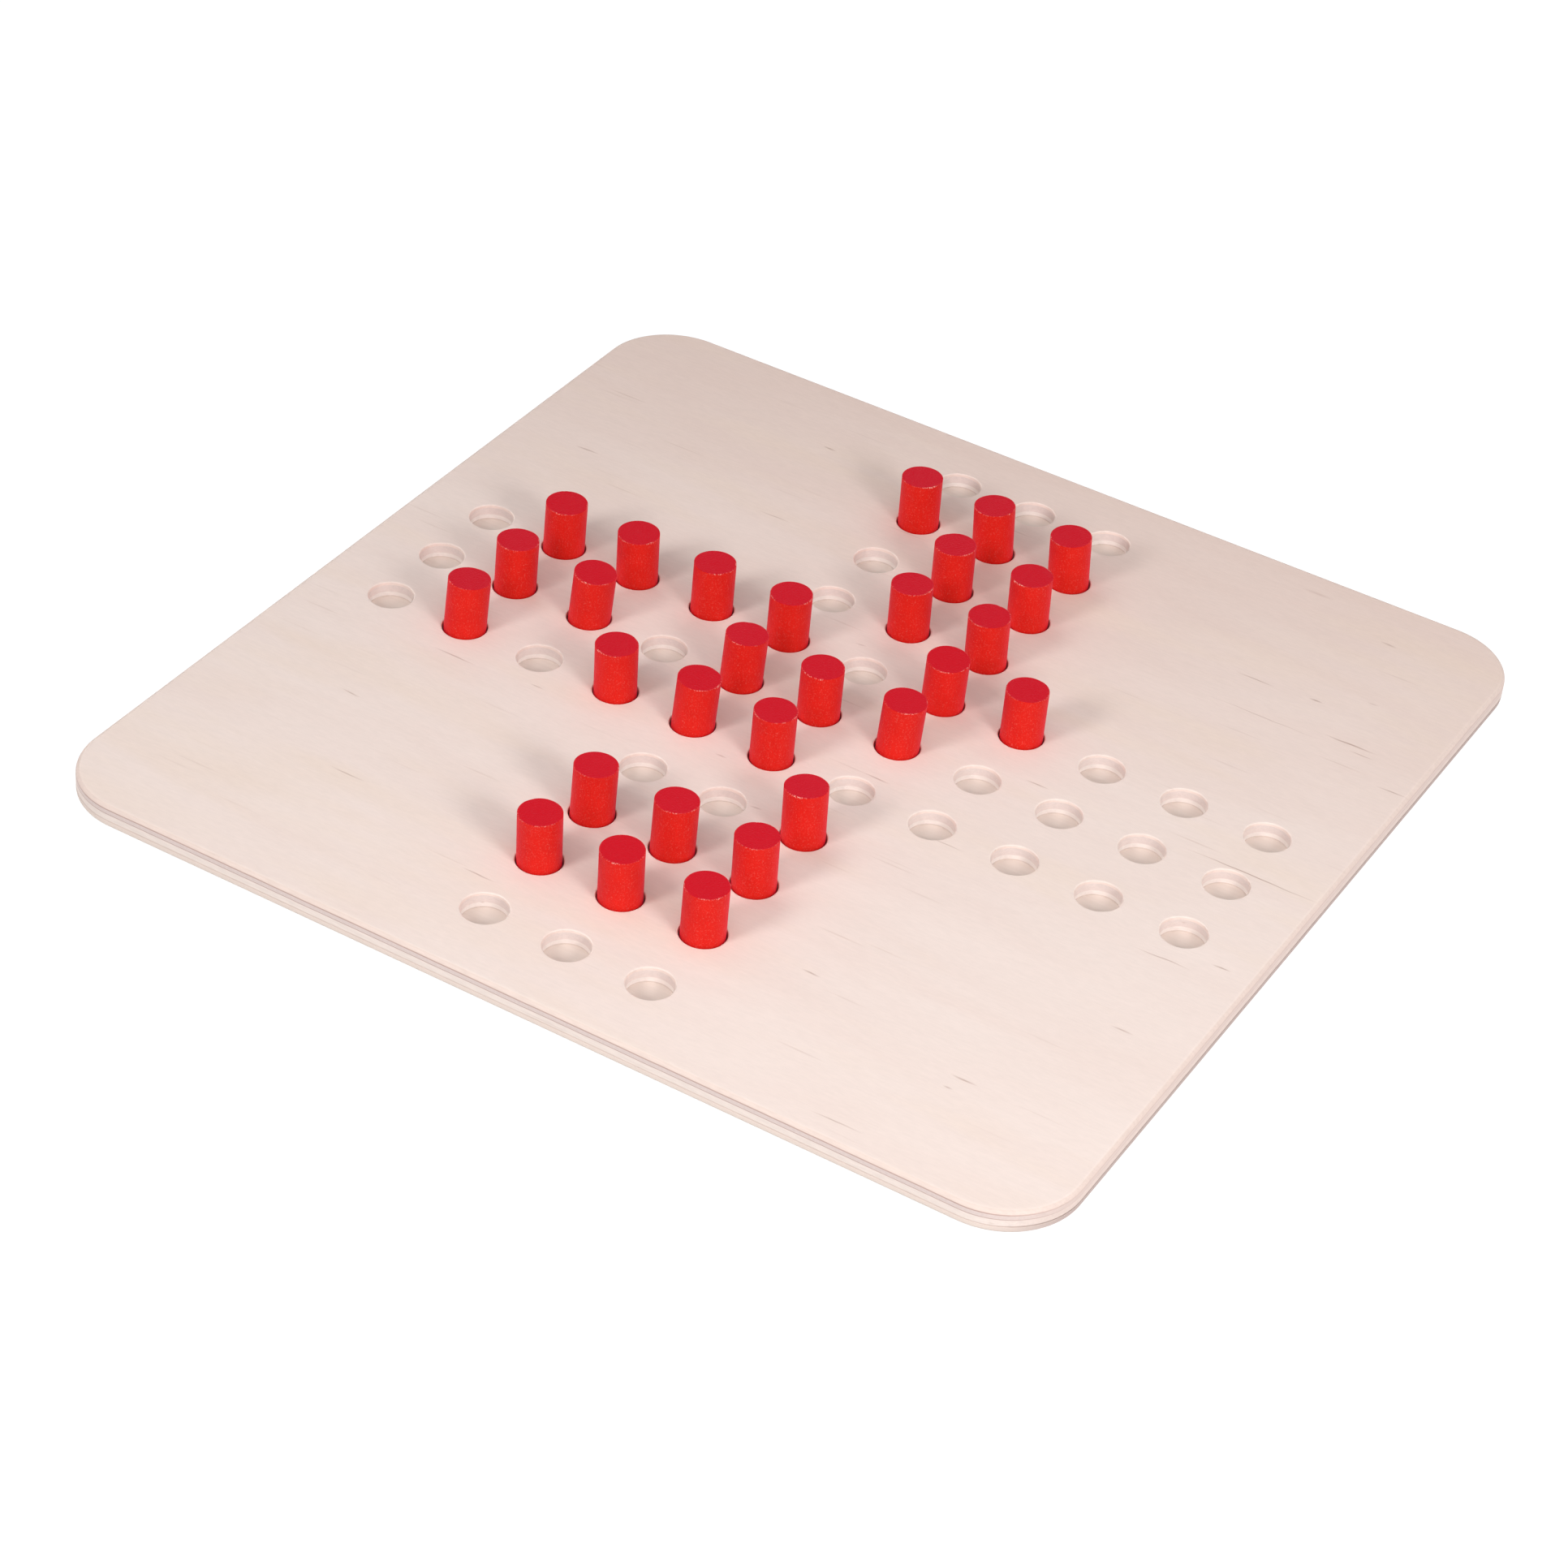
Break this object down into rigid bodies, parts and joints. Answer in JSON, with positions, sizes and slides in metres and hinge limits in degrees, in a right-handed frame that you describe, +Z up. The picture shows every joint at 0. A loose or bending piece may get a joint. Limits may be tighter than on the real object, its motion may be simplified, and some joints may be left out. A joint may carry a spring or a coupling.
{
  "type": "peg solitaire board",
  "caption": "Square plywood peg solitaire board with rounded corners, a cross of round blind holes and loose red dowel pegs that stand in them, part way through a game.",
  "frame": {"origin": "middle of the board's underside, on the surface that it lies on", "axes": "+Z up; +X along a row of holes, with the grain of the face; +Y from the front row to the back row"},
  "size_m": [0.298, 0.298, 0.0223],
  "materials": {
    "plywood": "pale birch plywood, sanded, thin clear matt seal",
    "base": "pale birch plywood sheet, sanded",
    "pegs": "dowel in semi-gloss red lacquer"
  },
  "bodies": {
    "board": {"drilled_panel": "plywood", "base_sheet": "base"},
    "peg_b5": {"peg_b5": "pegs"},
    "peg_b6": {"peg_b6": "pegs"},
    "peg_b7": {"peg_b7": "pegs"},
    "peg_c6": {"peg_c6": "pegs"},
    "peg_c7": {"peg_c7": "pegs"},
    "peg_d5": {"peg_d5": "pegs"},
    "peg_d7": {"peg_d7": "pegs"},
    "peg_e10": {"peg_e10": "pegs"},
    "peg_e2": {"peg_e2": "pegs"},
    "peg_e3": {"peg_e3": "pegs"},
    "peg_e5": {"peg_e5": "pegs"},
    "peg_e6": {"peg_e6": "pegs"},
    "peg_e7": {"peg_e7": "pegs"},
    "peg_f10": {"peg_f10": "pegs"},
    "peg_f2": {"peg_f2": "pegs"},
    "peg_f3": {"peg_f3": "pegs"},
    "peg_f5": {"peg_f5": "pegs"},
    "peg_f6": {"peg_f6": "pegs"},
    "peg_f8": {"peg_f8": "pegs"},
    "peg_f9": {"peg_f9": "pegs"},
    "peg_g10": {"peg_g10": "pegs"},
    "peg_g2": {"peg_g2": "pegs"},
    "peg_g3": {"peg_g3": "pegs"},
    "peg_g4": {"peg_g4": "pegs"},
    "peg_g6": {"peg_g6": "pegs"},
    "peg_g7": {"peg_g7": "pegs"},
    "peg_g8": {"peg_g8": "pegs"},
    "peg_g9": {"peg_g9": "pegs"},
    "peg_h7": {"peg_h7": "pegs"}
  },
  "joints": [
    {"name": "peg_b5_lift", "type": "slide", "parent": "board", "child": "peg_b5", "axis": [0, 0, 1], "range_m": [0, 0.022]},
    {"name": "peg_b6_lift", "type": "slide", "parent": "board", "child": "peg_b6", "axis": [0, 0, 1], "range_m": [0, 0.022]},
    {"name": "peg_b7_lift", "type": "slide", "parent": "board", "child": "peg_b7", "axis": [0, 0, 1], "range_m": [0, 0.022]},
    {"name": "peg_c6_lift", "type": "slide", "parent": "board", "child": "peg_c6", "axis": [0, 0, 1], "range_m": [0, 0.022]},
    {"name": "peg_c7_lift", "type": "slide", "parent": "board", "child": "peg_c7", "axis": [0, 0, 1], "range_m": [0, 0.022]},
    {"name": "peg_d5_lift", "type": "slide", "parent": "board", "child": "peg_d5", "axis": [0, 0, 1], "range_m": [0, 0.022]},
    {"name": "peg_d7_lift", "type": "slide", "parent": "board", "child": "peg_d7", "axis": [0, 0, 1], "range_m": [0, 0.022]},
    {"name": "peg_e10_lift", "type": "slide", "parent": "board", "child": "peg_e10", "axis": [0, 0, 1], "range_m": [0, 0.022]},
    {"name": "peg_e2_lift", "type": "slide", "parent": "board", "child": "peg_e2", "axis": [0, 0, 1], "range_m": [0, 0.022]},
    {"name": "peg_e3_lift", "type": "slide", "parent": "board", "child": "peg_e3", "axis": [0, 0, 1], "range_m": [0, 0.022]},
    {"name": "peg_e5_lift", "type": "slide", "parent": "board", "child": "peg_e5", "axis": [0, 0, 1], "range_m": [0, 0.022]},
    {"name": "peg_e6_lift", "type": "slide", "parent": "board", "child": "peg_e6", "axis": [0, 0, 1], "range_m": [0, 0.022]},
    {"name": "peg_e7_lift", "type": "slide", "parent": "board", "child": "peg_e7", "axis": [0, 0, 1], "range_m": [0, 0.022]},
    {"name": "peg_f10_lift", "type": "slide", "parent": "board", "child": "peg_f10", "axis": [0, 0, 1], "range_m": [0, 0.022]},
    {"name": "peg_f2_lift", "type": "slide", "parent": "board", "child": "peg_f2", "axis": [0, 0, 1], "range_m": [0, 0.022]},
    {"name": "peg_f3_lift", "type": "slide", "parent": "board", "child": "peg_f3", "axis": [0, 0, 1], "range_m": [0, 0.022]},
    {"name": "peg_f5_lift", "type": "slide", "parent": "board", "child": "peg_f5", "axis": [0, 0, 1], "range_m": [0, 0.022]},
    {"name": "peg_f6_lift", "type": "slide", "parent": "board", "child": "peg_f6", "axis": [0, 0, 1], "range_m": [0, 0.022]},
    {"name": "peg_f8_lift", "type": "slide", "parent": "board", "child": "peg_f8", "axis": [0, 0, 1], "range_m": [0, 0.022]},
    {"name": "peg_f9_lift", "type": "slide", "parent": "board", "child": "peg_f9", "axis": [0, 0, 1], "range_m": [0, 0.022]},
    {"name": "peg_g10_lift", "type": "slide", "parent": "board", "child": "peg_g10", "axis": [0, 0, 1], "range_m": [0, 0.022]},
    {"name": "peg_g2_lift", "type": "slide", "parent": "board", "child": "peg_g2", "axis": [0, 0, 1], "range_m": [0, 0.022]},
    {"name": "peg_g3_lift", "type": "slide", "parent": "board", "child": "peg_g3", "axis": [0, 0, 1], "range_m": [0, 0.022]},
    {"name": "peg_g4_lift", "type": "slide", "parent": "board", "child": "peg_g4", "axis": [0, 0, 1], "range_m": [0, 0.022]},
    {"name": "peg_g6_lift", "type": "slide", "parent": "board", "child": "peg_g6", "axis": [0, 0, 1], "range_m": [0, 0.022]},
    {"name": "peg_g7_lift", "type": "slide", "parent": "board", "child": "peg_g7", "axis": [0, 0, 1], "range_m": [0, 0.022]},
    {"name": "peg_g8_lift", "type": "slide", "parent": "board", "child": "peg_g8", "axis": [0, 0, 1], "range_m": [0, 0.022]},
    {"name": "peg_g9_lift", "type": "slide", "parent": "board", "child": "peg_g9", "axis": [0, 0, 1], "range_m": [0, 0.022]},
    {"name": "peg_h7_lift", "type": "slide", "parent": "board", "child": "peg_h7", "axis": [0, 0, 1], "range_m": [0, 0.022]}
  ]
}
